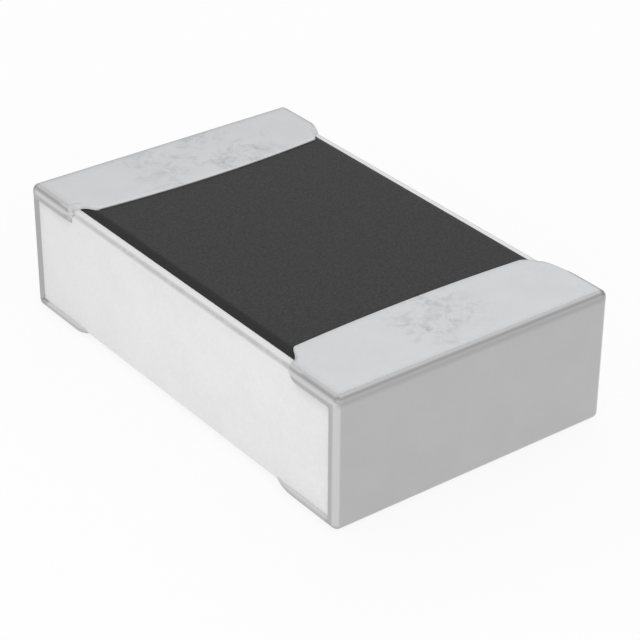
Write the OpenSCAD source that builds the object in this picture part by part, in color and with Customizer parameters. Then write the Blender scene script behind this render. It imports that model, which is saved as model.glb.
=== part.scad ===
// Thick-film chip resistor in a 2.0 by 1.25 mm case, built up layer by layer as the real one is.
// Sizes are in millimetres. The origin is under the middle of the chip, in the plane of its solder
// pads. +X runs along the chip to its right end, and +Z is up.

/* [Chip] */
// Length over the two terminations
chip_l = 2.000; // [1.700:0.010:2.600]
// Width over the side lips of the terminations
chip_w = 1.250; // [1.000:0.010:1.600]
// Height from the solder pads to the top of the tin
chip_h = 0.550; // [0.400:0.010:0.800]
// Radius of the ceramic's edges
ceramic_edge_r = 0.016; // [0.006:0.001:0.024]
// Radius of the tin's outer edges
tin_edge_r = 0.028; // [0.016:0.001:0.040]

/* [Termination layers] */
// Thickness of the printed silver on the top face
top_electrode_t = 0.012; // [0.009:0.001:0.016]
// Thickness of the printed silver on the bottom face
bottom_electrode_t = 0.005; // [0.004:0.001:0.012]
// Thickness of the silver over the end face and round on to the long sides
end_electrode_t = 0.008; // [0.004:0.001:0.012]
// Reach of the end silver over the chip from the end face, up to the printed silver
end_electrode_wrap = 0.090; // [0.080:0.005:0.160]
// Thickness of the nickel barrier
nickel_t = 0.005; // [0.003:0.001:0.008]
// Thickness of the tin plating
tin_t = 0.007; // [0.004:0.001:0.010]

/* [Termination outline] */
// Length of the tin band on the top face, at the middle of its bowed inner edge
top_band_l = 0.383; // [0.300:0.005:0.450]
// Bow of the band's inner edge between its two shoulders
band_bow = 0.021; // [0.004:0.001:0.030]
// Length of the solder pad on the bottom face
pad_l = 0.370; // [0.250:0.005:0.500]
// Width of the shoulder along each long side, where the top band draws back
shoulder_w = 0.102; // [0.090:0.001:0.120]
// Distance that the top band draws back at its shoulders
shoulder_l = 0.084; // [0.070:0.001:0.120]
// Width of the neck between the shoulder's slope and the long side
neck_w = 0.066; // [0.050:0.001:0.075]
// Distance that the band draws back along its neck
neck_l = 0.022; // [0.010:0.001:0.030]
// Radius of the two bends in each shoulder
shoulder_r = 0.036; // [0.015:0.001:0.050]
// Radius of the top band's outer corners, where its side lips begin
band_tip_r = 0.030; // [0.010:0.001:0.040]
// Radius of the solder pad's corners, where its side lips begin
pad_tip_r = 0.070; // [0.010:0.001:0.100]
// Reach of the tin down the long sides from the top face
top_lip = 0.046; // [0.040:0.001:0.080]
// Reach of the tin up the long sides from the solder pad
bottom_lip = 0.050; // [0.040:0.001:0.080]
// Reach of the tin along the long sides from the end face
end_lip = 0.044; // [0.035:0.001:0.060]
// Radius of the lips' corners on the long sides
lip_corner_r = 0.014; // [0.006:0.001:0.020]

/* [Resistor and coats] */
// Bare margin of ceramic along each long edge of the overcoat
coat_margin = 0.045; // [0.030:0.001:0.080]
// Width of the slope along each long edge of the overcoat
coat_slope_w = 0.030; // [0.010:0.001:0.040]
// Radius of the overcoat's shoulder above the slope
coat_edge_r = 0.020; // [0.005:0.001:0.030]
// Thickness of the black overcoat over the glass
coat_t = 0.005; // [0.004:0.001:0.008]
// Thickness of the glass over the film
glass_t = 0.004; // [0.003:0.001:0.006]
// Margin of glass round the film
glass_margin = 0.030; // [0.010:0.001:0.040]
// Thickness of the resistive film
film_t = 0.009; // [0.008:0.001:0.012]
// Margin from the film to the ceramic's long sides
film_margin = 0.205; // [0.180:0.005:0.300]
// Lap of the film on the top electrode's ramp
film_lap = 0.030; // [0.015:0.001:0.040]
// Margin from the top electrode's inner run to the ceramic's long sides
electrode_margin = 0.125; // [0.100:0.005:0.160]
// Run of the top electrode in under the overcoat
electrode_run = 0.100; // [0.095:0.005:0.160]
// Length of the ramp at the inner end of that run
electrode_ramp = 0.090; // [0.080:0.005:0.095]
// Thickness of the top electrode at the foot of its ramp
electrode_tip_t = 0.003; // [0.002:0.001:0.004]

/* [Laser trim] */
// Width of the laser cut through glass and film
trim_kerf = 0.030; // [0.020:0.001:0.050]
// Place of the cut along the chip
trim_x = -0.150; // [-0.300:0.010:0.100]
// Depth of the cut across the film
trim_plunge = 0.380; // [0.200:0.010:0.450]
// Length of the cut's leg along the film
trim_leg = 0.280; // [0.100:0.010:0.300]

/* [Hidden] */
$fn = 48;

// Flat steps in each rounded corner of an outline, and in half of the band's bow
bend_steps = 8;
bow_steps = 8;
// Distance that a cutting form runs past the chip
past = 0.100;

// Heights of the layers
plating_t = nickel_t + tin_t;
ceramic_bottom = bottom_electrode_t + plating_t;
ceramic_top = chip_h - top_electrode_t - plating_t;
film_top = ceramic_top + film_t;
glass_top = film_top + glass_t;
coat_top = glass_top + coat_t;
mid_z = chip_h / 2;
far_z = chip_h + past;

// Places along the right half of the chip
side_stack = end_electrode_t + plating_t;
ceramic_l = chip_l - 2 * side_stack;
band_x = chip_l / 2 - top_band_l;
bend_x = band_x + band_bow;
shoulder_x = bend_x + shoulder_l;
neck_x = shoulder_x - neck_l;
pad_x = chip_l / 2 - pad_l;
end_lip_x = chip_l / 2 - end_lip;
end_wrap_x = chip_l / 2 - end_electrode_wrap;
far_x = chip_l / 2 + past;
electrode_tip_x = band_x - electrode_run;
film_end_x = electrode_tip_x + film_lap;
glass_end_x = film_end_x + glass_margin;

// Places across the chip
ceramic_w = chip_w - 2 * side_stack;
bend_y = chip_w / 2 - shoulder_w;
neck_y = chip_w / 2 - neck_w;
far_y = chip_w / 2 + past;
coat_edge_y = ceramic_w / 2 - coat_margin;
electrode_edge_y = ceramic_w / 2 - electrode_margin;
film_edge_y = ceramic_w / 2 - film_margin;
glass_edge_y = film_edge_y + glass_margin;
trim_end_y = trim_plunge - film_edge_y;

// Radii that a shoulder has room for
bend_r = min(shoulder_r, shoulder_l / 2, neck_w * 2 / 3);
tip_r = min(band_tip_r, neck_w / 2);

silver = [0.86, 0.86, 0.84];
nickel = [0.72, 0.70, 0.66];
tin = [0.80, 0.81, 0.82];

function unit(v) = v / norm(v);
function left_of(v) = [-v.y, v.x];
function half_turn(a) = (a + 540) % 360 - 180;

// Edge radius of a layer whose surface lies a given depth below the tin's
function edge_r(depth) = tin_edge_r + (ceramic_edge_r - tin_edge_r) * depth / side_stack;

// Points of one outline corner b = [x, y, r] between its neighbours a and c, rounded to radius r
function rounded_corner(a, b, c) =
    let (
        tip = [b.x, b.y],
        to_a = unit([a.x, a.y] - tip),
        to_c = unit([c.x, c.y] - tip),
        half = acos(to_a * to_c) / 2,
        centre = tip + unit(to_a + to_c) * b.z / sin(half),
        start = tip + to_a * b.z / tan(half) - centre,
        stop = tip + to_c * b.z / tan(half) - centre,
        first = atan2(start.y, start.x),
        turn = half_turn(atan2(stop.y, stop.x) - first)
    )
    [
        for (k = [0 : bend_steps])
            let (angle = first + turn * k / bend_steps)
                centre + b.z * [cos(angle), sin(angle)]
    ];

// Points of a closed outline, from its corners [x, y, r]
function rounded_outline(corners) =
    let (n = len(corners))
    [
        for (i = [0 : n - 1])
            each corners[i].z > 0
                ? rounded_corner(corners[(i + n - 1) % n], corners[i], corners[(i + 1) % n])
                : [[corners[i].x, corners[i].y]]
    ];

// Corner b = [x, y, r] of an outline run anticlockwise, with the edges from a and to c moved in
function inset_corner(a, b, c, inset) =
    let (
        tip = [b.x, b.y],
        before = unit(tip - [a.x, a.y]),
        after = unit([c.x, c.y] - tip),
        normals = [left_of(before), left_of(after)],
        moved = tip + inset * (normals[0] + normals[1]) / (1 + normals[0] * normals[1]),
        growth = cross(before, after) > 0 ? -inset : inset
    )
    [moved.x, moved.y, b.z > 0 ? max(b.z + growth, 0) : 0];

// Corners of an outline run anticlockwise, with every edge moved in
function inset_corners(corners, inset) =
    let (n = len(corners))
    [
        for (i = [0 : n - 1])
            inset_corner(corners[(i + n - 1) % n], corners[i], corners[(i + 1) % n], inset)
    ];

// Side view of the right termination: a channel that is open towards the middle of the chip
channel_corners = [
    [far_x, -past, 0],
    [far_x, far_z, 0],
    [shoulder_x, far_z, 0],
    [shoulder_x, chip_h - top_lip, lip_corner_r],
    [end_lip_x, chip_h - top_lip, lip_corner_r],
    [end_lip_x, bottom_lip, lip_corner_r],
    [pad_x, bottom_lip, lip_corner_r],
    [pad_x, -past, 0]
];

// Plan of the right top band: a bowed edge between two shoulders that slope back to the long sides
band_corners = [
    [far_x, -far_y, 0],
    [far_x, far_y, 0],
    [shoulder_x, chip_w / 2, tip_r],
    [neck_x, neck_y, bend_r],
    [bend_x, bend_y, bend_r],
    for (k = [bow_steps - 1 : -1 : 1 - bow_steps])
        [band_x + band_bow * (k / bow_steps) ^ 2, bend_y * k / bow_steps, 0],
    [bend_x, -bend_y, bend_r],
    [neck_x, -neck_y, bend_r],
    [shoulder_x, -chip_w / 2, tip_r]
];

// Plan of the right solder pad
pad_corners = [
    [far_x, -far_y, 0],
    [far_x, far_y, 0],
    [pad_x, chip_w / 2, pad_tip_r],
    [pad_x, -chip_w / 2, pad_tip_r]
];

// Outline of a layer of the termination, drawn in by an inset
module layer_outline(corners, inset) {
    polygon(rounded_outline(inset_corners(corners, inset)));
}

// Outline in X and Z, drawn across the chip to a width
module across(width) {
    rotate([90, 0, 0])
        linear_extrude(width, center = true)
            children();
}

// Outline in Y and Z, drawn along the chip to a length
module along(length) {
    rotate([90, 0, 90])
        linear_extrude(length, center = true)
            children();
}

// Outline in X and Y, drawn upwards between two heights
module upright(low, high) {
    translate([0, 0, low])
        linear_extrude(high - low)
            children();
}

// All the space round the chip between two heights
module level(low, high) {
    upright(low, high)
        square([2 * far_x, 2 * far_y], center = true);
}

module both_ends() {
    children();
    mirror([1, 0, 0])
        children();
}

module rounded_rectangle(length, width, r) {
    square([length - 2 * r, width], center = true);
    square([length, width - 2 * r], center = true);
    for (sx = [-1, 1], sy = [-1, 1])
        translate([sx * (length / 2 - r), sy * (width / 2 - r)])
            circle(r);
}

// Block between two heights, with every edge rounded
module rounded_block(length, width, low, high, r) {
    translate([0, 0, (low + high) / 2])
        intersection() {
            linear_extrude(high - low, center = true)
                rounded_rectangle(length, width, r);
            across(width)
                rounded_rectangle(length, high - low, r);
            along(length)
                rounded_rectangle(width, high - low, r);
        }
}

// Form of a layer that would cover the whole chip, a given depth below the tin's surface
module layer_block(depth) {
    rounded_block(chip_l - 2 * depth, chip_w - 2 * depth, depth, chip_h - depth, edge_r(depth));
}

module ceramic_block() {
    rounded_block(ceramic_l, ceramic_w, ceramic_bottom, ceramic_top, ceramic_edge_r);
}

// Space of the right termination, drawn in by an inset so that each layer wraps the edge of the last
module termination_space(inset) {
    intersection() {
        upright(mid_z, far_z)
            layer_outline(band_corners, inset);
        union() {
            across(2 * far_y)
                layer_outline(channel_corners, inset);
            level(ceramic_top, far_z);
        }
    }
    intersection() {
        upright(-past, mid_z)
            layer_outline(pad_corners, inset);
        across(2 * far_y)
            layer_outline(channel_corners, inset);
    }
}

// Right termination from the ceramic out to a layer, a given depth below the tin's surface
module termination_form(depth) {
    intersection() {
        layer_block(depth);
        termination_space(depth);
    }
}

// Inner run of the right top electrode under the overcoat, with a ramp for the film to lap on
module electrode_run_form() {
    across(2 * electrode_edge_y)
        polygon([
            [electrode_tip_x, ceramic_top],
            [electrode_tip_x, ceramic_top + electrode_tip_t],
            [electrode_tip_x + electrode_ramp, ceramic_top + top_electrode_t],
            [shoulder_x, ceramic_top + top_electrode_t],
            [shoulder_x, ceramic_top]
        ]);
}

// Space that the end electrode takes from the printed electrodes
module end_space() {
    translate([end_wrap_x, -far_y, -past])
        cube([far_x - end_wrap_x, 2 * far_y, far_z + past]);
}

module top_electrode() {
    color(silver) {
        electrode_run_form();
        difference() {
            termination_form(plating_t);
            ceramic_block();
            end_space();
            level(-past, mid_z);
        }
    }
}

module bottom_electrode() {
    color(silver)
        difference() {
            termination_form(plating_t);
            ceramic_block();
            end_space();
            level(mid_z, far_z);
        }
}

module end_electrode() {
    color(silver)
        difference() {
            intersection() {
                termination_form(plating_t);
                end_space();
            }
            ceramic_block();
        }
}

module nickel_barrier() {
    color(nickel)
        difference() {
            termination_form(tin_t);
            termination_form(plating_t);
            electrode_run_form();
            ceramic_block();
        }
}

module tin_termination() {
    color(tin)
        difference() {
            termination_form(0);
            termination_form(tin_t);
            electrode_run_form();
            ceramic_block();
        }
}

// Laser cut that enters from the film's front edge, turns and runs along the film
module trim_cut() {
    translate([trim_x, 0])
        upright(ceramic_top, far_z) {
            translate([-trim_kerf / 2, -far_y])
                square([trim_kerf, far_y + trim_end_y]);
            translate([-trim_kerf / 2, trim_end_y - trim_kerf])
                square([trim_leg, trim_kerf]);
        }
}

module film_print() {
    upright(ceramic_top, film_top)
        square([2 * film_end_x, 2 * film_edge_y], center = true);
}

module glass_print() {
    upright(ceramic_top, glass_top)
        square([2 * glass_end_x, 2 * glass_edge_y], center = true);
}

module coat_print() {
    top_y = coat_edge_y - coat_slope_w;
    along(2 * shoulder_x)
        polygon(rounded_outline([
            [-coat_edge_y, ceramic_top, 0],
            [coat_edge_y, ceramic_top, 0],
            [top_y, coat_top, coat_edge_r],
            [-top_y, coat_top, coat_edge_r]
        ]));
}

module ceramic_substrate() {
    color([0.94, 0.94, 0.92])
        ceramic_block();
}

module resistive_film() {
    color([0.13, 0.12, 0.14])
        difference() {
            film_print();
            both_ends() electrode_run_form();
            trim_cut();
        }
}

module glass_layer() {
    color([0.30, 0.42, 0.36])
        difference() {
            glass_print();
            film_print();
            both_ends() electrode_run_form();
            trim_cut();
        }
}

// The overcoat fills the laser cut and meets the terminations edge to edge
module overcoat() {
    color([0.20, 0.20, 0.20])
        difference() {
            coat_print();
            both_ends() termination_form(0);
            both_ends() electrode_run_form();
            difference() {
                glass_print();
                trim_cut();
            }
        }
}

ceramic_substrate();
resistive_film();
glass_layer();
overcoat();
mirror([1, 0, 0]) top_electrode();  // left_top_electrode
top_electrode();  // right_top_electrode
mirror([1, 0, 0]) bottom_electrode();  // left_bottom_electrode
bottom_electrode();  // right_bottom_electrode
mirror([1, 0, 0]) end_electrode();  // left_end_electrode
end_electrode();  // right_end_electrode
mirror([1, 0, 0]) nickel_barrier();  // left_nickel_barrier
nickel_barrier();  // right_nickel_barrier
mirror([1, 0, 0]) tin_termination();  // left_tin_termination
tin_termination();  // right_tin_termination
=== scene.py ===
import math
from types import SimpleNamespace

import bpy
import numpy as np
from mathutils import Matrix, Vector


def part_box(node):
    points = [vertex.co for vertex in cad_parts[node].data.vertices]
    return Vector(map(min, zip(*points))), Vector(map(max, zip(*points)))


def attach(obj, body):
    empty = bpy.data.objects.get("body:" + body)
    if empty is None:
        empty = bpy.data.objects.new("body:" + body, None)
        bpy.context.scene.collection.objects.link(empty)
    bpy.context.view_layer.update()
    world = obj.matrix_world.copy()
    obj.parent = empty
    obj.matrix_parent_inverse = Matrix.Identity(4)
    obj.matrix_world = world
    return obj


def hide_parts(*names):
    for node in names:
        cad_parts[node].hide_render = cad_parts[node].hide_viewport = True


# A surface-mount chip resistor: a white ceramic block with a black overcoat on top
# and a tin-plated cap wrapped over each end. Lengths are in millimetres until a mesh is made.

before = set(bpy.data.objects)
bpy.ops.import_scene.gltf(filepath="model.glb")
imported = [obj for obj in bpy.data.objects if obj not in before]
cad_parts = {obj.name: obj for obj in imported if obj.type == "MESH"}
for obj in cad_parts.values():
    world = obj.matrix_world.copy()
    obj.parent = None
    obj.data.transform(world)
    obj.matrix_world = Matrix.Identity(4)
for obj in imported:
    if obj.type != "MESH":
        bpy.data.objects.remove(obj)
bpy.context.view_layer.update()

MM = 0.001
MICRON = 0.001


def box_mm(node):
    low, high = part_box(node)
    return np.array(low) / MM, np.array(high) / MM


# Main sizes, from the solids of the frame
tin_high = box_mm("right_tin_termination")[1]
nickel_high = box_mm("right_nickel_barrier")[1]
ceramic_low, ceramic_high = box_mm("ceramic_substrate")
coat_high = box_mm("overcoat")[1]
glass_high = box_mm("glass_layer")[1]
film_high = box_mm("resistive_film")[1]
electrode_low, electrode_high = box_mm("right_top_electrode")

HALF_L, HALF_W, HEIGHT = tin_high
CHIP_LOW = np.array([-HALF_L, -HALF_W, 0])
TIN_T = HALF_L - nickel_high[0]
TOP_STACK = HEIGHT - ceramic_high[2]
SIDE_STACK = HALF_W - ceramic_high[1]
BOTTOM_STACK = ceramic_low[2]

# Cap outline
EDGE_R = 0.029
BEND_SOFTEN = 0.009
PAD_TIP_R = 0.015
PAD_TIP_END = 0.96
TOP_LIP = 0.067
BOTTOM_LIP = 0.030
LIP_CORNER_R = 0.014
CORNER_FILLET = 0.09
FILLET_FROM = 0.6
MITRE_REACH = 0.120

# Each cap's own shape, as plated: the bow of its top band, the points of its shoulders
# as a first bend and then (way across, x), its lips, and how gently its lips thin out at their ends
RIGHT_CAP = {
    "sign": 1,
    "bow": (0.6122, 0.065),
    "front": (
        0.537, (0.557, 0.677), (0.580, 0.691), (0.605, 0.698),
        (0.650, 0.704), (0.676, 0.716), (0.692, 0.740),
    ),
    "back": (0.520, (0.5675, 0.665), (0.592, 0.676), (0.622, 0.720), (0.660, 0.732)),
    "end_lip": 0.057,
    "tapers": (0.034, 0.080),
    "pad": 0.624,
    "pad_tapers": (0.110, 0.110),
}
LEFT_CAP = {
    "sign": -1,
    "bow": (0.6218, 0.095),
    "front": (
        0.532, (0.557, 0.722), (0.580, 0.731), (0.605, 0.724),
        (0.640, 0.705), (0.676, 0.722),
    ),
    "back": (0.5265, (0.568, 0.712), (0.598, 0.724), (0.640, 0.738)),
    "end_lip": 0.017,
    "tapers": (0.048, 0.060),
    "pad": 0.648,
    "pad_tapers": (0.060, 0.060),
}

# Thinning of the plating towards its borders
BAND_RIM = 0.004
PAD_RIM = 0.010
RIM_SHARE = 0.6
TOP_TAPER = 0.020
END_TAPER = 0.013
BOTTOM_TAPER = 0.016
TAPER_POWER = 2.2
FEATHER_T = 0.002
SHOULDER_TAPER = 0.022
SHOULDER_START = (0.545, 0.580)
LIP_START_FRONT = (0.610, 0.650)
LIP_START_BACK = (0.572, 0.612)
LIP_START_PAD = (0.560, 0.605)
EDGE_EXTRA = 0.006
STEEPEST = 3.0
SLOPE_STEP = 0.0005

# Layers of a cap: shares of its thickness, and how far each stays back from the tin's borders
NICKEL_SHARE = 0.35
SILVER_SHARE = 0.60
NICKEL_INSET = TIN_T
SILVER_INSET = 0.012
ELECTRODE_RUN_Y = 0.480
RUN_SOFTEN = 0.012

# Ceramic and overcoat
CERAMIC_EDGE_R = 0.010
CERAMIC_TOP_R = 0.018
COAT_SLOPE_W = 0.025
COAT_SOFTEN = 0.013
COAT_FOOT = 0.0025
COAT_TUCK = 0.0004
COAT_FRONT_Y = 0.563
COAT_BACK_Y = 0.568
COAT_FLAT_Y = 0.490
COAT_STRAIGHT_X = 0.575
HAIR = 0.0005

# Mesh fineness
ROUND_STEPS = 7
RIM_STEPS = 8
LIP_STEPS = 9
END_STEPS = 14
BAND_STEPS = 14
INNER_Y = 0.44
INNER_STEPS = 12
OUTER_STEPS = 34
CERAMIC_SPANS = (40, 26, 12)
COAT_INNER_STEPS = 14
COAT_FLAT_STEPS = 6
COAT_SLOPE_STEPS = 24
COAT_MIDDLE_STEPS = 16
COAT_END_STEPS = 8
SMOOTH_ANGLE = 35


# Helper curves

def softened(curve, at, reach, samples=9):
    """The curve with its corners rounded off over reach to each side."""
    shifts = np.linspace(-reach, reach, samples)
    return np.mean([curve(at + shift) for shift in shifts], axis=0)


def rise(at, low, high):
    """0 below low, 1 above high, with a soft change between."""
    part = np.clip((at - low) / (high - low), 0, 1)
    return part * part * (3 - 2 * part)


def round_steps(radius):
    """Distances from a sharp edge, out to radius, that turn into even steps on its rounding."""
    angles = np.linspace(0, math.pi / 4, ROUND_STEPS)
    return radius * (1 - np.tan(angles[::-1]))


def rim_parts():
    """Parts of a rim's width, from its inside to its border, in even steps of a quarter round."""
    return 1 - np.sin(np.linspace(0, math.pi / 2, RIM_STEPS))


def round_box(points, depth, low, high, radius):
    """Moves points of a sharp box on to the same box with rounded edges, depth under its surface."""
    inner = np.clip(points, low + radius, high - radius)
    out = points - inner
    length = np.linalg.norm(out, axis=-1, keepdims=True)
    return inner + out / length * (radius - depth[..., None])


# Meshes

def make_object(name, points, faces):
    mesh = bpy.data.meshes.new(name)
    mesh.from_pydata((np.asarray(points) * MM).tolist(), [], faces)
    mesh.validate()
    mesh.shade_smooth()
    mesh.set_sharp_from_angle(angle=math.radians(SMOOTH_ANGLE))
    obj = bpy.data.objects.new(name, mesh)
    bpy.context.scene.collection.objects.link(obj)
    return obj


def grid_faces(rows, columns, start=0, flip=False):
    faces = []
    for i in range(rows - 1):
        for j in range(columns - 1):
            a = start + i * columns + j
            face = (a, a + 1, a + columns + 1, a + columns)
            faces.append(face[::-1] if flip else face)
    return faces


def grid_border(rows, columns):
    """Numbers of a grid's border points, once round, in the order of the grid's own faces."""
    first = list(range(columns))
    right = [i * columns + columns - 1 for i in range(1, rows)]
    last = [(rows - 1) * columns + j for j in range(columns - 2, -1, -1)]
    left = [i * columns for i in range(rows - 2, 0, -1)]
    return first + right + last + left


def band_faces(upper, lower, flip=False):
    """Faces between two closed rows of points."""
    faces = []
    for k in range(len(upper)):
        n = (k + 1) % len(upper)
        face = (upper[k], lower[k], lower[n], upper[n])
        faces.append(face[::-1] if flip else face)
    return faces


# End caps

def shoulder_line(q, bow, shoulder):
    """Inner edge of a top band on one side: the bowed middle, then the shoulder's own points."""
    start, curve = bow
    bend = shoulder[0]
    ways = [bend] + [way for way, x in shoulder[1:]]
    places = [start + curve * bend ** 2] + [x for way, x in shoulder[1:]]
    bowed = start + curve * np.minimum(q, bend) ** 2
    return np.where(q < bend, bowed, np.interp(q, ways, places))


def band_edge(q, cap):
    """Inner edge of a top band: x over the way q from the middle line across and down the side."""
    def line(at):
        front = shoulder_line(-at, cap["bow"], cap["front"])
        back = shoulder_line(at, cap["bow"], cap["back"])
        return np.where(at < 0, front, back)
    return softened(line, q, BEND_SOFTEN)


def pad_edge(q, cap):
    """Inner edge of a solder pad, drawn back a little at the tips of its side lips."""
    tip = (np.abs(q) - HALF_W - BOTTOM_LIP + PAD_TIP_R) / PAD_TIP_R
    tip = np.clip(tip, 0, PAD_TIP_END)
    return cap["pad"] + PAD_TIP_R * (1 - np.sqrt(1 - tip ** 2))


def silver_edge(q, cap):
    """Inner edge of the fired silver on top, which runs in under the coat to meet the film."""
    run = 1 - rise(np.abs(q), ELECTRODE_RUN_Y - RUN_SOFTEN, ELECTRODE_RUN_Y)
    edge = band_edge(q, cap)
    return edge + run * (film_high[0] - SILVER_INSET - edge)


def slant(edge, q, cap):
    """How much longer a way along X is than the way square to the edge."""
    slope = (edge(q + SLOPE_STEP, cap) - edge(q - SLOPE_STEP, cap)) / (2 * SLOPE_STEP)
    return np.sqrt(1 + np.minimum(slope ** 2, STEEPEST ** 2))


def cap_columns():
    """Across the cap: y on its faces, then the way down each side lip."""
    flat = np.concatenate([
        np.linspace(0, INNER_Y, INNER_STEPS)[:-1],
        np.linspace(INNER_Y, HALF_W - EDGE_R, OUTER_STEPS)[:-1],
        HALF_W - round_steps(EDGE_R)[::-1],
    ])
    lip = np.concatenate([
        round_steps(EDGE_R)[1:],
        np.linspace(EDGE_R, TOP_LIP, LIP_STEPS)[1:],
    ])
    y = np.concatenate([flat, np.full(len(lip), HALF_W)])
    down = np.concatenate([np.zeros(len(flat)), lip])
    side = np.concatenate([-np.ones(len(y) - 1), np.ones(len(y))])
    y = np.concatenate([y[:0:-1], y]) * side
    return y, np.concatenate([down[:0:-1], down]), side


def stack_depth(points):
    """Thickness of everything between the cap's outside and the ceramic."""
    out = points - np.clip(points, CHIP_LOW + EDGE_R, tin_high - EDGE_R)
    share = out ** 2 / np.sum(out ** 2, axis=-1, keepdims=True)
    x, y, z = np.moveaxis(share, -1, 0)
    z_stack = np.where(out[..., 2] > 0, TOP_STACK, BOTTOM_STACK)
    plain = (x + y) * SIDE_STACK + z * z_stack
    extra = 4 * (x * y + y * z + z * x) * EDGE_EXTRA
    return np.minimum(plain + extra, EDGE_R - MICRON)


def cap_layer(cap, inset, share, top_edge):
    """Points of one surface of a cap's layers, rows along the wrap from pad to top band.

    The surface lies inset from the cap's borders, at a share of the stack's thickness below
    the outside. Also gives its depth below the outside, and the stack's thickness.
    """
    y, down, side = cap_columns()
    points, thinned = [], []

    def by_side(values):
        return np.where(side < 0, values[0], values[1])

    def reach(lip):
        return down * (lip - inset) / TOP_LIP

    def lip_thinning(lip, taper):
        inside = np.where(down > 0, lip - reach(lip), lip)
        return np.clip(1 - inside / taper, 0, 1) ** TAPER_POWER

    def add_row(x, z, thin):
        points.append(np.stack([x, y, np.broadcast_to(z, y.shape)], axis=-1))
        thinned.append(thin)

    def from_corner(way, corner_reach):
        """A way from the box's edge, moved along where the side lips meet on a mitre."""
        tight = np.maximum(1 - way / LIP_CORNER_R, 0) ** 2 * (down > FILLET_FROM * TOP_LIP)
        start = corner_reach * (1 + CORNER_FILLET * tight)
        return np.where(way < MITRE_REACH, start + way * (1 - start / MITRE_REACH), way)

    def face_rows(edge, lip, lip_taper, rim, end_tapers, lip_starts, z_sign, z_face):
        """Rows of the top or the underside, from the end inwards to the edge."""
        q = (np.abs(y) + reach(lip)) * side
        z = z_face + z_sign * reach(lip)
        lean = slant(edge, q, cap)
        outline = edge(q, cap)
        border = outline + inset * lean
        on_lip = np.where(q < 0, rise(-q, *lip_starts[0]), rise(q, *lip_starts[1]))
        on_shoulder = rise(np.abs(q), *SHOULDER_START)
        width = rim + (SHOULDER_TAPER - rim) * on_shoulder
        width = width + (by_side(end_tapers) - SHOULDER_TAPER) * on_lip
        room = HALF_L - border - EDGE_R
        near = np.minimum(width * lean, RIM_SHARE * room)
        parts = np.linspace(0, 1, BAND_STEPS)[1:-1]
        ways = [HALF_L - way for way in round_steps(EDGE_R)]
        ways += [HALF_L - EDGE_R - part * (room - near) for part in parts]
        ways += [border + part * near for part in rim_parts()]
        rows = []
        for x in ways:
            way = HALF_L - np.broadcast_to(x, y.shape)
            x = HALF_L - from_corner(way, reach(cap["end_lip"]))
            back = np.clip(1 - (x - outline) / lean / width, 0, 1)
            rounded = (1 - np.sqrt(1 - back ** 2)) * rim / TOP_STACK
            end = rounded + (back ** TAPER_POWER - rounded) * on_shoulder
            rows.append((x, z, 1 - (1 - end) * (1 - lip_thinning(lip, lip_taper))))
        return rows

    bottom = face_rows(pad_edge, BOTTOM_LIP, BOTTOM_TAPER, PAD_RIM, cap["pad_tapers"],
                       (LIP_START_PAD, LIP_START_PAD), 1, 0.0)
    top = face_rows(top_edge, TOP_LIP, TOP_TAPER, BAND_RIM, cap["tapers"],
                    (LIP_START_FRONT, LIP_START_BACK), -1, HEIGHT)
    for row in bottom[:0:-1]:
        add_row(*row)
    heights = np.concatenate([
        round_steps(EDGE_R)[:-1],
        np.linspace(EDGE_R, HEIGHT - EDGE_R, END_STEPS),
        HEIGHT - round_steps(EDGE_R)[-2::-1],
    ])
    for height in heights:
        if height < HEIGHT / 2:
            z = from_corner(np.full(y.shape, height), reach(BOTTOM_LIP))
        else:
            z = HEIGHT - from_corner(np.full(y.shape, HEIGHT - height), reach(TOP_LIP))
        thin = lip_thinning(cap["end_lip"], END_TAPER)
        add_row(HALF_L - reach(cap["end_lip"]), z, thin)
    for row in top[1:]:
        add_row(*row)

    points = np.array(points)
    stack = stack_depth(points)
    outside = (stack - FEATHER_T) * np.array(thinned)
    return points, outside + share * (stack - outside), stack


def chip_surface(points, depth):
    return round_box(points, depth, CHIP_LOW, tin_high, EDGE_R)


def build_layer(name, cap, insets, shares, top_edge=band_edge):
    """A closed shell between two surfaces of a cap's layers, with walls at its borders."""
    outer, outer_depth, outer_stack = cap_layer(cap, insets[0], shares[0], top_edge)
    inner, inner_depth, inner_stack = cap_layer(cap, insets[1], shares[1], top_edge)
    rows, columns = outer_depth.shape
    count = rows * columns
    border = grid_border(rows, columns)

    inner_border = [n + count for n in border]
    surfaces = [
        chip_surface(outer, outer_depth).reshape(-1, 3),
        chip_surface(inner, inner_depth).reshape(-1, 3),
    ]
    flip = cap["sign"] < 0
    faces = grid_faces(rows, columns, 0, flip)
    faces += grid_faces(rows, columns, count, not flip)
    rings = [border, inner_border]
    if shares[1] < 1:
        # A plated layer goes down to the ceramic round the layer under it
        for points, stack in ((outer, outer_stack), (inner, inner_stack)):
            edge, depth = points.reshape(-1, 3)[border], stack.reshape(-1)[border]
            surfaces.append(chip_surface(edge, depth))
        outer_foot = list(range(2 * count, 2 * count + len(border)))
        inner_foot = [n + len(border) for n in outer_foot]
        rings = [border, outer_foot, inner_foot, inner_border]
    for upper, lower in zip(rings, rings[1:]):
        faces += band_faces(upper, lower, flip)
    points = np.concatenate(surfaces)
    points[:, 0] *= cap["sign"]
    return make_object(name, points, faces)


# Ceramic block

def box_lines(low, high, low_radius, high_radius, spans):
    """Places along one axis of a box, closer together on its rounded edges."""
    return np.concatenate([
        low + round_steps(low_radius)[:-1],
        np.linspace(low + low_radius, high - high_radius, spans + 1),
        high - round_steps(high_radius)[-2::-1],
    ])


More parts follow.
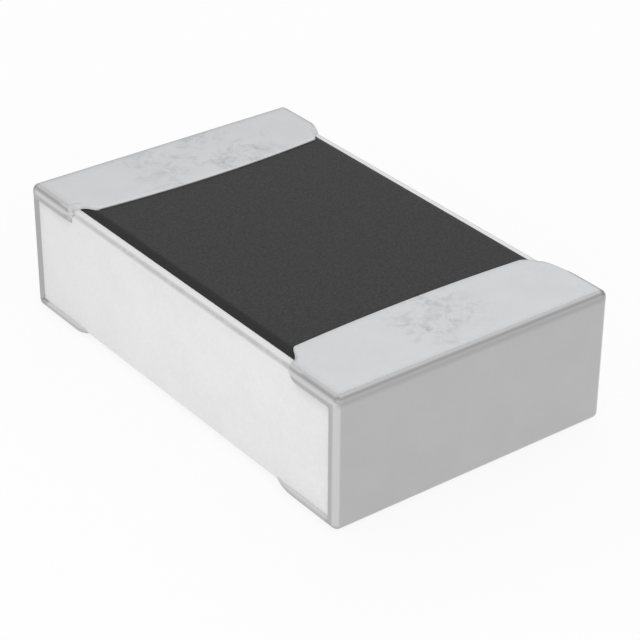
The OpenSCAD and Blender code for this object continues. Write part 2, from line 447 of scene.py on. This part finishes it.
def round_top_edges(points):
    """Rounds the two long edges of the ceramic's top by their larger radius."""
    x, y, z = points.T
    across = np.maximum(np.abs(y) - ceramic_high[1] + CERAMIC_TOP_R, 0)
    up = np.maximum(z - ceramic_high[2] + CERAMIC_TOP_R, 0)
    length = np.hypot(across, up)
    outside = (across > 0) & (up > 0) & (length > CERAMIC_TOP_R)
    pull = np.ones(len(points))
    pull[outside] = CERAMIC_TOP_R / length[outside]
    y = y - np.sign(y) * across * (1 - pull)
    return np.stack([x, y, z - up * (1 - pull)], axis=-1)


def build_ceramic(name):
    """The fired block, with softly rounded edges all round and rounder long edges on top."""
    radii = (
        (CERAMIC_EDGE_R, CERAMIC_EDGE_R),
        (CERAMIC_TOP_R, CERAMIC_TOP_R),
        (CERAMIC_EDGE_R, CERAMIC_TOP_R),
    )
    lines = [box_lines(ceramic_low[k], ceramic_high[k], *radii[k], spans)
             for k, spans in enumerate(CERAMIC_SPANS)]
    numbers, corners, faces = {}, [], []

    def number(key):
        if key not in numbers:
            numbers[key] = len(corners)
            corners.append([lines[k][key[k]] for k in range(3)])
        return numbers[key]

    def add_face(axis, end, i, j):
        face = []
        for a, b in ((i, j), (i + 1, j), (i + 1, j + 1), (i, j + 1)):
            key = [0, 0, 0]
            key[axis], key[(axis + 1) % 3], key[(axis + 2) % 3] = end, a, b
            face.append(number(tuple(key)))
        faces.append(face if end else face[::-1])

    for axis in range(3):
        u, v = (axis + 1) % 3, (axis + 2) % 3
        for end in (0, len(lines[axis]) - 1):
            for i in range(len(lines[u]) - 1):
                for j in range(len(lines[v]) - 1):
                    add_face(axis, end, i, j)
    corners = np.array(corners)
    depth = np.zeros(len(corners))
    points = round_box(corners, depth, ceramic_low, ceramic_high, CERAMIC_EDGE_R)
    return make_object(name, round_top_edges(points), faces)


# Overcoat

def coat_rise(y):
    """Share of the full thickness that the coat has reached at y, across its sloped long edges."""
    def ramp(at):
        edge = np.where(at < 0, COAT_FRONT_Y, COAT_BACK_Y)
        return np.minimum((edge - np.abs(at)) / COAT_SLOPE_W, 1)
    return softened(ramp, y, COAT_SOFTEN)


def coat_lines(edge):
    """Places across one half of the coat, from its middle to its long edge."""
    slope = COAT_SLOPE_W + COAT_SOFTEN
    return np.concatenate([
        np.linspace(0, glass_high[1] - HAIR, COAT_INNER_STEPS),
        [glass_high[1] + HAIR, ELECTRODE_RUN_Y - HAIR, ELECTRODE_RUN_Y + HAIR],
        np.linspace(COAT_FLAT_Y, edge - slope, COAT_FLAT_STEPS),
        edge - np.linspace(slope, 0, COAT_SLOPE_STEPS)[1:],
    ])


def coat_underside(x, y):
    """Underside of the coat: on the ceramic, raised where it covers the electrodes and the glass."""
    over_electrode = (np.abs(x) > electrode_low[0]) & (np.abs(y) < ELECTRODE_RUN_Y)
    over_glass = (np.abs(x) < glass_high[0]) & (np.abs(y) < glass_high[1])
    z = np.where(over_electrode, electrode_high[2], ceramic_high[2])
    return np.where(over_glass, glass_high[2], z)


def build_overcoat(name):
    """The printed coat between the top bands, with sloped long edges and horns at its corners."""
    y = np.concatenate([-coat_lines(COAT_FRONT_Y)[:0:-1], coat_lines(COAT_BACK_Y)])
    right_ends = band_edge(y, RIGHT_CAP) + COAT_TUCK
    left_ends = band_edge(y, LEFT_CAP) + COAT_TUCK
    straight = np.concatenate([
        np.linspace(0, electrode_low[0] - HAIR, COAT_MIDDLE_STEPS),
        [electrode_low[0] + HAIR, COAT_STRAIGHT_X, glass_high[0] - HAIR, glass_high[0] + HAIR],
    ])
    parts = np.linspace(0, 1, COAT_END_STEPS)[1:, None]
    middle = np.concatenate([-straight[:0:-1], straight])[:, None] + np.zeros(y.shape)
    right = straight[-1] + parts * (right_ends - straight[-1])
    left = straight[-1] + parts * (left_ends - straight[-1])
    x = np.concatenate([-left[::-1], middle, right])
    y = np.broadcast_to(y, x.shape)
    foot = ceramic_high[2] + COAT_FOOT
    top = foot + (coat_high[2] - foot) * coat_rise(y)
    low = coat_underside(x, y)
    rows, columns = x.shape
    count = rows * columns
    points = np.concatenate([
        np.stack([x, y, top], axis=-1).reshape(-1, 3),
        np.stack([x, y, low], axis=-1).reshape(-1, 3),
    ])
    border = grid_border(rows, columns)
    faces = grid_faces(rows, columns, 0, True)
    faces += grid_faces(rows, columns, count, False)
    faces += band_faces(border, [n + count for n in border], True)
    return make_object(name, points, faces)


# Material helpers

SKEW = (0.5, 0.3, 0.8)
NOISE_MOST = (0.35, 0.65)
NOISE_ALL = (0.3, 0.7)
PATCH_CORE = 0.35


def grey(level):
    return (level, level, level)


def new_material(name):
    material = bpy.data.materials.new(name)
    material.use_nodes = True
    return material, material.node_tree


def put(tree, socket, value):
    """Links a socket to another, or sets it to a plain value."""
    if isinstance(value, bpy.types.NodeSocket):
        tree.links.new(value, socket)
    else:
        socket.default_value = value


def add(tree, kind, inputs=None, **settings):
    """A node with its settings and inputs; an input that is a socket is linked."""
    node = tree.nodes.new(kind)
    for key, value in settings.items():
        setattr(node, key, value)
    for key, value in (inputs or {}).items():
        put(tree, node.inputs[key], value)
    return node


def dress(tree, **inputs):
    """Sets the shader's own sockets, by links or plain values."""
    shader = tree.nodes["Principled BSDF"]
    for key, value in inputs.items():
        put(tree, shader.inputs[key.replace("_", " ")], value)


def place_mm(tree):
    """Place on the object, in millimetres."""
    place = add(tree, "ShaderNodeTexCoord").outputs["Object"]
    return add(tree, "ShaderNodeVectorMath", {0: place, "Scale": 1 / MM}, operation="SCALE").outputs[0]


def turned(tree, place):
    """The place on skewed axes, so that no noise runs along the chip's own axes."""
    return add(tree, "ShaderNodeVectorRotate", {"Vector": place, "Rotation": SKEW},
               rotation_type="EULER_XYZ").outputs[0]


def noise(tree, place, scale, detail=2.0, roughness=0.5, distortion=0.0):
    return add(tree, "ShaderNodeTexNoise", {
        "Vector": place, "Scale": scale, "Detail": detail,
        "Roughness": roughness, "Distortion": distortion,
    }).outputs["Fac"]


def spread(tree, value, ends, to=(0.0, 1.0), kind="LINEAR"):
    """Changes a value's range from ends to another, and keeps it inside that."""
    return add(tree, "ShaderNodeMapRange", {
        "Value": value, "From Min": ends[0], "From Max": ends[1],
        "To Min": to[0], "To Max": to[1],
    }, interpolation_type=kind).outputs["Result"]


def soft(tree, value, ends):
    """0 at the first end and 1 at the second, with a soft change between."""
    return spread(tree, value, ends, kind="SMOOTHSTEP")


def math_node(tree, operation, a, b=0.0):
    return add(tree, "ShaderNodeMath", {0: a, 1: b}, operation=operation).outputs[0]


def product(tree, *shares):
    result = shares[0]
    for share in shares[1:]:
        result = math_node(tree, "MULTIPLY", result, share)
    return result


def largest(tree, *shares):
    result = shares[0]
    for share in shares[1:]:
        result = math_node(tree, "MAXIMUM", result, share)
    return result


def colour_mix(tree, share, a, b):
    node = add(tree, "ShaderNodeMix", {"Factor": share}, data_type="RGBA")
    for socket, value in ((node.inputs[6], a), (node.inputs[7], b)):
        put(tree, socket, (*value, 1) if isinstance(value, tuple) else value)
    return node.outputs[2]


def bump(tree, height, microns, under=None):
    inputs = {"Height": height, "Distance": microns * MICRON * MM, "Strength": 1.0}
    if under is not None:
        inputs["Normal"] = under
    return add(tree, "ShaderNodeBump", inputs).outputs["Normal"]


def patch(tree, place, centre, reach):
    """1 round a centre, fading to 0 at reach from it."""
    away = add(tree, "ShaderNodeVectorMath", {0: place, 1: centre}, operation="DISTANCE")
    return soft(tree, away.outputs["Value"], (reach, PATCH_CORE * reach))


def chip_places(tree, place):
    """Where a point of the chip lies and which way it faces, as sockets.

    x, y and z are its place, from_end and so on its ways from the chip's faces,
    and to_end, to_side, to_back and up the parts of its normal.
    """
    x, y, z = add(tree, "ShaderNodeSeparateXYZ", {0: place}).outputs
    normal = add(tree, "ShaderNodeNewGeometry").outputs["Normal"]
    normal_x, normal_y, normal_z = add(tree, "ShaderNodeSeparateXYZ", {0: normal}).outputs
    return SimpleNamespace(
        x=x, y=y, z=z,
        from_end=math_node(tree, "SUBTRACT", HALF_L, math_node(tree, "ABSOLUTE", x)),
        from_side=math_node(tree, "SUBTRACT", HALF_W, math_node(tree, "ABSOLUTE", y)),
        from_front=math_node(tree, "ADD", y, HALF_W),
        from_top=math_node(tree, "SUBTRACT", HEIGHT, z),
        to_end=math_node(tree, "ABSOLUTE", normal_x),
        to_side=math_node(tree, "ABSOLUTE", normal_y),
        to_back=normal_y,
        up=normal_z,
    )


# Tin: colours, and noises as scale, detail, roughness and distortion

TIN_LIGHT = grey(0.497)
TIN_DARK = grey(0.483)
# Painted light: the lighter tone of the side lips
TIN_LIP = grey(0.625)
# Painted shade: the darker tones along the lips' inner border and foot
TIN_LIP_BORDER_SHADE = grey(0.455)
TIN_LIP_FOOT_SHADE = grey(0.412)
TIN_FOOT = grey(0.680)
# Painted light: the pale tone of the shoulder slopes
TIN_WALL_LIGHT = grey(0.600)
# Painted shade: the dark lines along the upper edges
TIN_EDGE_SHADE = grey(0.385)
# Painted highlight: the light line on the upper edges
TIN_GLINT = grey(0.600)
# Painted shade: the darker far edges
TIN_FAR_SHADE = grey(0.300)
# Painted shade: the dark front corners
TIN_CORNER_SHADE = grey(0.330)
TIN_MARK = (0.320, 0.324, 0.333)
TIN_ROUGHNESS = (0.29, 0.35)
TIN_BUMP = 0.5
TIN_CLOUD = (7.0, 4.0, 0.6)
TIN_GRAIN = (160.0, 3.0, 0.6)
TIN_SWELL = (12.0, 2.0)
TIN_SCUFFS = (15.0, 5.0, 0.72, 1.2)
TIN_WEAR = (5.0, 3.0, 0.6)
SCUFF_RANGE = (0.47, 0.72)
WEAR_RANGE = (0.36, 0.52)

# Handling marks: a centre and a reach on each cap, on the faces that look up
RIGHT_MARK = ((0.764, -0.010, 0.55), 0.27)
LEFT_MARK = ((-0.800, 0.080, 0.55), 0.48)
MARK_UP = (0.60, 0.95)

# Each range below gives where a tone begins and where it is full; most of these tones are painted light
# and shade

# Side lips, lighter as painted light, and painted shade along their border and foot
LIP_TO_SIDE = (0.25, 0.55)
LIP_BELOW_TOP = (0.62, 0.34)
LIP_ABOVE_PAD = (-0.85, -0.35)
LIP_BORDER = (0.028, 0.040)
END_BORDER_SHIFT = 0.010
LEFT_LIP_SHADE = (-0.955, -0.970)
LIP_FOOT = (0.030, 0.012)

# Slopes of the bands' shoulders, pale and non-metallic as painted light
WALL_SLOPE = (0.96, 0.80)
WALL_FROM_SIDE = (0.004, 0.018)
WALL_TO_SIDE = (0.110, 0.085)
WALL_FROM_END = (0.200, 0.230)
WALL_FROM_TOP = (0.060, 0.040)

# Upper borders of the lips above the solder pads
FOOT_FROM_SIDE = (0.035, 0.025)
FOOT_RISE = (0.012, 0.036)
FOOT_TOP = (0.060, 0.050)
FOOT_FROM_END = (0.050, 0.070)

# Upper edges: which way they face, how near the chip's box edge, how near the top
FACES_END = (0.12, 0.30)
FACES_FRONT = (-0.12, -0.30)
FACES_BACK = (0.15, 0.40)
ON_END_FACE = (0.5, 0.9)
BOX_EDGE = (0.030, 0.018)
NEAR_TOP = (0.022, 0.012)
LEVEL = (0.960, 0.995)

# Painted shade as dark lines on the upper edges: a line's two sides, and its strength
END_LINE = ((0.0165, 0.0245), (0.048, 0.024), 0.78)
END_DIP = ((0.85, 0.73), (0.50, 0.65), 0.80)
FRONT_DIP = ((0.82, 0.72), (0.52, 0.64), 0.62)
BACK_TURN = ((0.90, 0.72), 0.45)
END_FADE = ((0.044, 0.028), 0.32)
FRONT_FADE = ((0.052, 0.032), 0.28)

# Painted highlight as a light line above them, weaker along the front
GLINT = ((0.99, 0.94), (0.79, 0.88))
FRONT_GLINT = 0.60

# Painted shade on the upper edges along the left end and the back, and on the front corners
FAR_LEFT = ((-0.966, -0.978), 0.74)
FAR_BACK = (0.590, 0.602)
FAR_TURN = (0.995, 0.950)
CORNER_BULGE = (0.05, 0.13)
CORNER_UP = (0.12, 0.36)


def side_lip_light(tree, at):
    """1 on the cap's lips that face the long sides and on its upright edges, where lighter tin is
    painted light.
    """
    return product(tree, soft(tree, at.to_side, LIP_TO_SIDE), soft(tree, at.up, LIP_BELOW_TOP),
                   soft(tree, at.up, LIP_ABOVE_PAD))


def lip_light_and_shade(tree, at):
    """Colour across a side lip: painted light, and painted shade along its inner border and its foot.
    """
    from_end = math_node(tree, "ADD", at.from_end, END_BORDER_SHIFT)
    border = soft(tree, math_node(tree, "MINIMUM", from_end, at.from_top), LIP_BORDER)
    colour = colour_mix(tree, border, TIN_LIP, TIN_LIP_BORDER_SHADE)
    colour = colour_mix(tree, soft(tree, at.x, LEFT_LIP_SHADE), colour, TIN_LIP_BORDER_SHADE)
    return colour_mix(tree, soft(tree, at.z, LIP_FOOT), colour, TIN_LIP_FOOT_SHADE)


def shoulder_wall(tree, at):
    """1 on the sloped edges of the bands' shoulders, beside the coat's corners, where a pale
    non-metallic tone is painted light.
    """
    return product(tree, soft(tree, at.up, WALL_SLOPE), soft(tree, at.from_side, WALL_FROM_SIDE),
                   soft(tree, at.from_side, WALL_TO_SIDE), spread(tree, at.from_end, WALL_FROM_END),
                   spread(tree, at.from_top, WALL_FROM_TOP))


def thin_foot(tree, at):
    """1 at the upper border of the lips above the solder pads, where the plating thins out."""
    return product(tree, spread(tree, at.from_side, FOOT_FROM_SIDE), soft(tree, at.z, FOOT_RISE),
                   spread(tree, at.z, FOOT_TOP), spread(tree, at.from_end, FOOT_FROM_END))


def box_edge(tree, at):
    return soft(tree, math_node(tree, "MINIMUM", at.from_end, at.from_side), BOX_EDGE)


def front_edge(tree, at):
    return product(tree, soft(tree, at.to_back, FACES_FRONT), box_edge(tree, at))


def stripe(tree, value, line):
    """A line between two soft sides, at its strength."""
    begin, end, strength = line
    return product(tree, soft(tree, value, begin), soft(tree, value, end), strength)


def painted_shade_edges(tree, at):
    """Share of the painted shade: dark lines along a cap's upper edges, and the darkening towards them.
    """
    turn, back_strength = BACK_TURN
    level = spread(tree, at.up, LEVEL)
    return largest(
        tree,
        product(tree, soft(tree, at.to_end, ON_END_FACE), stripe(tree, at.from_top, END_LINE)),
        product(tree, soft(tree, at.to_end, FACES_END), stripe(tree, at.up, END_DIP)),
        product(tree, front_edge(tree, at), stripe(tree, at.up, FRONT_DIP)),
        product(tree, soft(tree, at.up, turn), box_edge(tree, at), soft(tree, at.from_top, NEAR_TOP),
                soft(tree, at.to_back, FACES_BACK), back_strength),
        product(tree, spread(tree, at.from_end, END_FADE[0]), level, END_FADE[1]),
        product(tree, spread(tree, at.from_front, FRONT_FADE[0]), level, FRONT_FADE[1]),
    )


def painted_highlight_edges(tree, at):
    """Share of the painted highlight: a light line just above the dark one."""
    front = product(tree, front_edge(tree, at), FRONT_GLINT)
    along = largest(tree, soft(tree, at.to_end, FACES_END), front)
    return product(tree, along, soft(tree, at.up, GLINT[0]), soft(tree, at.up, GLINT[1]))


def painted_far_edge_shade(tree, at):
    """Share of the painted shade on the upper edges along the left end and the back."""
    ends, strength = FAR_LEFT
    left = spread(tree, at.x, ends, (0.0, strength))
    far = largest(tree, left, spread(tree, at.y, FAR_BACK))
    return product(tree, far, soft(tree, at.up, FAR_TURN), soft(tree, at.from_top, NEAR_TOP))


def painted_corner_shade(tree, at):
    """Share of the painted shade on the upper corners at the front."""
    bulge = product(tree, at.to_end, at.to_back, at.up, -1.0)
    return product(tree, soft(tree, bulge, CORNER_BULGE), soft(tree, at.up, CORNER_UP))


def handling_marks(tree, place, skew, at):
    scuffs = spread(tree, noise(tree, skew, *TIN_SCUFFS), SCUFF_RANGE)
    wear = soft(tree, noise(tree, skew, *TIN_WEAR), WEAR_RANGE)
    patches = largest(tree, patch(tree, place, *RIGHT_MARK), patch(tree, place, *LEFT_MARK))
    return product(tree, scuffs, patches, wear, soft(tree, at.up, MARK_UP))


def tin_material():
    """Matte tin plate: satin, finely grained, faintly marked on top, with painted light and shade on
    its lips and edges.
    """
    material, tree = new_material("matte_tin")
    place = place_mm(tree)
    skew = turned(tree, place)
    at = chip_places(tree, place)
    grain = noise(tree, skew, *TIN_GRAIN)
    swell = noise(tree, skew, *TIN_SWELL)
    foot, wall = thin_foot(tree, at), shoulder_wall(tree, at)

    cloud = spread(tree, noise(tree, skew, *TIN_CLOUD), NOISE_MOST)
    colour = colour_mix(tree, cloud, TIN_DARK, TIN_LIGHT)
    # Painted light and shade among these: lighter side lips, a highlight line, dark edge lines, dark
    # far edges and corners, pale shoulder slopes
    for share, finish_and_painted_light in (
        (handling_marks(tree, place, skew, at), TIN_MARK),
        (side_lip_light(tree, at), lip_light_and_shade(tree, at)),
        (painted_highlight_edges(tree, at), TIN_GLINT),
        (painted_shade_edges(tree, at), TIN_EDGE_SHADE),
        (painted_far_edge_shade(tree, at), TIN_FAR_SHADE),
        (painted_corner_shade(tree, at), TIN_CORNER_SHADE),
        (foot, TIN_FOOT),
        (wall, TIN_WALL_LIGHT),
    ):
        colour = colour_mix(tree, share, colour, finish_and_painted_light)
    metallic = math_node(tree, "SUBTRACT", 1.0, largest(tree, foot, wall))
    roughness = spread(tree, grain, NOISE_ALL, TIN_ROUGHNESS)
    normal = bump(tree, grain, TIN_BUMP, bump(tree, swell, TIN_BUMP))
    dress(tree, Base_Color=colour, Metallic=metallic, Roughness=roughness, Normal=normal)
    return material


# Ceramic

CERAMIC_LIGHT = grey(0.812)
CERAMIC_DARK = grey(0.760)
# Painted shade: the grey of the line along the rounded top edges
CERAMIC_EDGE_SHADE = grey(0.480)
CERAMIC_SHADE = grey(0.690)
CERAMIC_ROUGHNESS = (0.50, 0.62)
CERAMIC_BUMP = 0.7
CERAMIC_STREAKS = (7.0, 4.0, 0.6)
CERAMIC_SPECKS = (60.0, 3.0, 0.6)
CERAMIC_GRAIN = (140.0, 2.0)
STREAK_DRAW = (1.0, 0.55, 0.8)
STREAK_SHARE = 0.55
SPECK_SHARE = 0.45
EDGE_BREAKS = (40.0, 2.0)
EDGE_BREAK_RANGE = (0.3, 0.6)
EDGE_STRENGTH = (0.75, 1.0)
# Where the painted shade lies on the ceramic: beside the upper side lips and towards the left end
SHADE_FROM_TOP = (0.130, 0.060)
SHADE_FROM_END = (0.300, 0.240)
LEFT_END_SHADE = ((-0.25, -1.0), 0.35)


def level_edge(tree, up):
    """1 in the middle of the rounded edge of a level face, 0 on the faces it joins."""
    across = math_node(tree, "SUBTRACT", 1.0, math_node(tree, "MULTIPLY", up, up))
    height = math_node(tree, "MAXIMUM", up, 0.0)
    return product(tree, height, 2.0, math_node(tree, "SQRT", across))


def painted_ceramic_shade(tree, at):
    """Painted shade on the ceramic: beside the upper side lips, and faintly towards the left end."""
    lips = product(tree, soft(tree, at.from_top, SHADE_FROM_TOP), soft(tree, at.from_end, SHADE_FROM_END))
    ends, strength = LEFT_END_SHADE
    return largest(tree, lips, spread(tree, at.x, ends, (0.0, strength)))


def ceramic_mottle(tree, skew):
    """Share of the lighter tone: streaks, and specks among them."""
    inputs = {0: skew, 1: STREAK_DRAW}
    drawn = add(tree, "ShaderNodeVectorMath", inputs, operation="MULTIPLY").outputs[0]
    streaks = spread(tree, noise(tree, drawn, *CERAMIC_STREAKS), NOISE_MOST)
    specks = spread(tree, noise(tree, skew, *CERAMIC_SPECKS), NOISE_MOST)
    streaks = product(tree, streaks, STREAK_SHARE)
    return math_node(tree, "ADD", streaks, product(tree, specks, SPECK_SHARE))


def ceramic_material():
    """Fired alumina: matt white, faintly mottled, with painted shade as a grey line along its top long
    edges, beside the caps and towards the left end.
    """
    material, tree = new_material("fired_ceramic")
    place = place_mm(tree)
    skew = turned(tree, place)
    at = chip_places(tree, place)
    grain = noise(tree, skew, *CERAMIC_GRAIN)
    colour = colour_mix(tree, ceramic_mottle(tree, skew), CERAMIC_DARK, CERAMIC_LIGHT)
    breaks = spread(tree, noise(tree, skew, *EDGE_BREAKS), EDGE_BREAK_RANGE, EDGE_STRENGTH)
    # Painted shade: a grey line where the rounded top edges turn halfway from up to sideways
    edge_shade = product(tree, level_edge(tree, at.up), breaks)
    colour = colour_mix(tree, edge_shade, colour, CERAMIC_EDGE_SHADE)
    # Painted shade beside the upper side lips and towards the left end
    colour = colour_mix(tree, painted_ceramic_shade(tree, at), colour, CERAMIC_SHADE)
    roughness = spread(tree, grain, NOISE_ALL, CERAMIC_ROUGHNESS)
    dress(tree, Base_Color=colour, Roughness=roughness, Normal=bump(tree, grain, CERAMIC_BUMP))
    return material


# Overcoat

COAT_LIGHT = grey(0.0335)
COAT_DARK = grey(0.0170)
# Painted shade: the darker tone of the coat's sloped long edges
COAT_SLOPE_SHADE = grey(0.022)
COAT_SLOPE_RANGE = (0.04, 0.35)
COAT_SHEEN = (0.30, 0.18)
COAT_ROUGHNESS = (0.60, 0.74)
COAT_BUMP = 0.6
COAT_SPECKS = (110.0, 3.0, 0.6)
COAT_GRAIN = (200.0, 2.0)


def overcoat_material():
    """Matt black print with a fine grain, less glossy and, as painted shade, darker on its sloped long
    edges.
    """
    material, tree = new_material("matt_black_coat")
    place = place_mm(tree)
    skew = turned(tree, place)
    grain = noise(tree, skew, *COAT_GRAIN)
    specks = spread(tree, noise(tree, skew, *COAT_SPECKS), NOISE_MOST)
    slope = soft(tree, chip_places(tree, place).to_side, COAT_SLOPE_RANGE)
    colour = colour_mix(tree, specks, COAT_DARK, COAT_LIGHT)
    # Painted shade on the sloped long edges
    colour = colour_mix(tree, slope, colour, COAT_SLOPE_SHADE)
    sheen = spread(tree, slope, (0.0, 1.0), COAT_SHEEN)
    roughness = spread(tree, grain, NOISE_ALL, COAT_ROUGHNESS)
    normal = bump(tree, grain, COAT_BUMP)
    dress(tree, Base_Color=colour, Roughness=roughness, Normal=normal, Specular_IOR_Level=sheen)
    return material


# Layers of the inside: name, dark and light colour, metallic, and range of roughness

SILVER = ("fired_silver", (0.62, 0.61, 0.58), (0.76, 0.75, 0.72), 1.0, (0.45, 0.60))
NICKEL = ("plated_nickel", (0.50, 0.47, 0.42), (0.58, 0.55, 0.50), 1.0, (0.30, 0.42))
FILM = ("oxide_film", (0.040, 0.040, 0.048), (0.060, 0.060, 0.070), 0.0, (0.40, 0.55))
GLASS = ("glass_glaze", (0.13, 0.20, 0.16), (0.18, 0.26, 0.21), 0.0, (0.15, 0.28))
LAYER_GRAIN = (90.0, 3.0)
LAYER_BUMP = 0.5


def layer_material(name, dark, light, metallic, roughness_range):
    """A plain printed or plated layer of the inside, finely grained."""
    material, tree = new_material(name)
    grain = noise(tree, place_mm(tree), *LAYER_GRAIN)
    colour = colour_mix(tree, spread(tree, grain, NOISE_MOST), dark, light)
    roughness = spread(tree, grain, NOISE_ALL, roughness_range)
    normal = bump(tree, grain, LAYER_BUMP)
    dress(tree, Base_Color=colour, Metallic=metallic, Roughness=roughness, Normal=normal)
    return material


# Pieces

def place_piece(obj, material, slot, *nodes):
    obj.data.materials.append(material)
    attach(obj, "root")
    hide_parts(*nodes)


def dress_node(node, material):
    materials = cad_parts[node].data.materials
    materials.clear()
    materials.append(material)


def build_cap(side, cap, tin, nickel, silver):
    """The three layers of one cap, from the outside in."""
    skin = build_layer(f"{side}_tin_cap", cap, (0, NICKEL_INSET), (0, NICKEL_SHARE))
    place_piece(skin, tin, "tin", f"{side}_tin_termination")
    barrier = build_layer(f"{side}_nickel_layer", cap, (NICKEL_INSET, SILVER_INSET),
                          (NICKEL_SHARE, SILVER_SHARE))
    place_piece(barrier, nickel, "nickel", f"{side}_nickel_barrier")
    core = build_layer(f"{side}_silver_layer", cap, (SILVER_INSET, SILVER_INSET),
                       (SILVER_SHARE, 1), silver_edge)
    electrodes = [f"{side}_{face}_electrode" for face in ("top", "bottom", "end")]
    place_piece(core, silver, "silver", *electrodes)


def build_pieces():
    layers = (tin_material(), layer_material(*NICKEL), layer_material(*SILVER))
    build_cap("left", LEFT_CAP, *layers)
    build_cap("right", RIGHT_CAP, *layers)
    block = build_ceramic("ceramic_block")
    place_piece(block, ceramic_material(), "ceramic", "ceramic_substrate")
    coat = build_overcoat("black_overcoat")
    place_piece(coat, overcoat_material(), "overcoat", "overcoat")
    dress_node("resistive_film", layer_material(*FILM))
    dress_node("glass_layer", layer_material(*GLASS))


# Camera

CAMERA_AZIMUTH = 52.735
CAMERA_ELEVATION = 30.343
CAMERA_ROLL = 0.3616
CAMERA_AIM = (0.0654, 0.0127, 0.1992)
CAMERA_DISTANCE = 8.575
CAMERA_LENS = 124.906
CAMERA_SENSOR = 36
CAMERA_CLIP = (0.1, 1000)


def toward(azimuth, elevation):
    """Direction from the object; azimuth 0 is in front, at -Y, and 90 at +X."""
    a, e = math.radians(azimuth), math.radians(elevation)
    return Vector((math.sin(a) * math.cos(e), -math.cos(a) * math.cos(e), math.sin(e)))


def facing(back, roll=0.0):
    """Turn that points an object's -Z against back, with its X level but for the roll."""
    right = Vector((0, 0, 1)).cross(back).normalized()
    up = back.cross(right)
    turn = Matrix((right, up, back)).transposed()
    return turn @ Matrix.Rotation(math.radians(roll), 3, "Z")


def add_camera():
    camera = bpy.data.cameras.new("photo_camera")
    camera.sensor_fit = "HORIZONTAL"
    camera.sensor_width = CAMERA_SENSOR
    camera.lens = CAMERA_LENS
    camera.clip_start, camera.clip_end = [clip * MM for clip in CAMERA_CLIP]
    obj = bpy.data.objects.new("photo_camera", camera)
    back = toward(CAMERA_AZIMUTH, CAMERA_ELEVATION)
    place = (Vector(CAMERA_AIM) + back * CAMERA_DISTANCE) * MM
    obj.matrix_world = Matrix.Translation(place) @ facing(back, CAMERA_ROLL).to_4x4()
    bpy.context.scene.collection.objects.link(obj)
    bpy.context.scene.camera = obj


# Floor and light

FLOOR_SIZE = 400
FLOOR_DROP = 0.0005
FLOOR_TONE = (0.915, 0.925)
FLOOR_NOISE = (0.4, 2.0)
FLOOR_GLOW_SHARE = 0.85
SKY_LEVEL = 0.834

# Soft panels: name, azimuth, elevation, distance, width, height, radiance, tint
NEUTRAL = (1.0, 1.0, 1.0)
COOL = (0.965, 0.990, 1.035)
PANELS = (
    ("back_panel", 227, 36, 40, 26, 14, 0.80, COOL),
    ("left_panel", 262, 46, 40, 20, 14, 0.18, NEUTRAL),
    ("front_panel", 45, 20, 40, 90, 24, 0.63, NEUTRAL),
    ("key_panel", 45, 55, 16, 22, 22, 0.20, NEUTRAL),
)


def floor_material():
    """White table; most of what the camera and the metal see of it is plain white."""
    material, tree = new_material("white_floor")
    tree.nodes.remove(tree.nodes["Principled BSDF"])
    tone = spread(tree, noise(tree, place_mm(tree), *FLOOR_NOISE), NOISE_ALL, FLOOR_TONE)
    matt = add(tree, "ShaderNodeBsdfDiffuse", {"Color": tone}).outputs[0]
    glow = add(tree, "ShaderNodeEmission", {"Strength": 1.0}).outputs[0]
    path = add(tree, "ShaderNodeLightPath").outputs
    seen = largest(tree, path["Is Camera Ray"], path["Is Glossy Ray"], path["Is Transmission Ray"])
    share = product(tree, seen, FLOOR_GLOW_SHARE)
    mixed = add(tree, "ShaderNodeMixShader", {0: share, 1: matt, 2: glow}).outputs[0]
    tree.links.new(mixed, tree.nodes["Material Output"].inputs["Surface"])
    return material


def add_floor():
    half = FLOOR_SIZE / 2
    signs = ((-1, -1), (1, -1), (1, 1), (-1, 1))
    corners = [(x * half, y * half, -FLOOR_DROP) for x, y in signs]
    floor = make_object("floor", corners, [(0, 1, 2, 3)])
    floor.data.materials.append(floor_material())


def add_world():
    """Even, slightly dim studio surround."""
    world = bpy.data.worlds.new("studio")
    bpy.context.scene.world = world
    world.use_nodes = True
    world.node_tree.nodes["Background"].inputs["Color"].default_value = (*grey(SKY_LEVEL), 1)


def add_panel(name, azimuth, elevation, distance, width, height, radiance, tint):
    lamp = bpy.data.lights.new(name, "AREA")
    lamp.shape = "RECTANGLE"
    lamp.size = width * MM
    lamp.size_y = height * MM
    lamp.energy = radiance * math.pi * lamp.size * lamp.size_y
    lamp.color = tint
    obj = bpy.data.objects.new(name, lamp)
    way = toward(azimuth, elevation)
    obj.matrix_world = Matrix.Translation(way * distance * MM) @ facing(way).to_4x4()
    obj.visible_camera = False
    bpy.context.scene.collection.objects.link(obj)


def add_stage():
    add_camera()
    add_floor()
    add_world()
    for panel in PANELS:
        add_panel(*panel)
    bpy.context.scene.view_settings.view_transform = "Standard"


build_pieces()
add_stage()
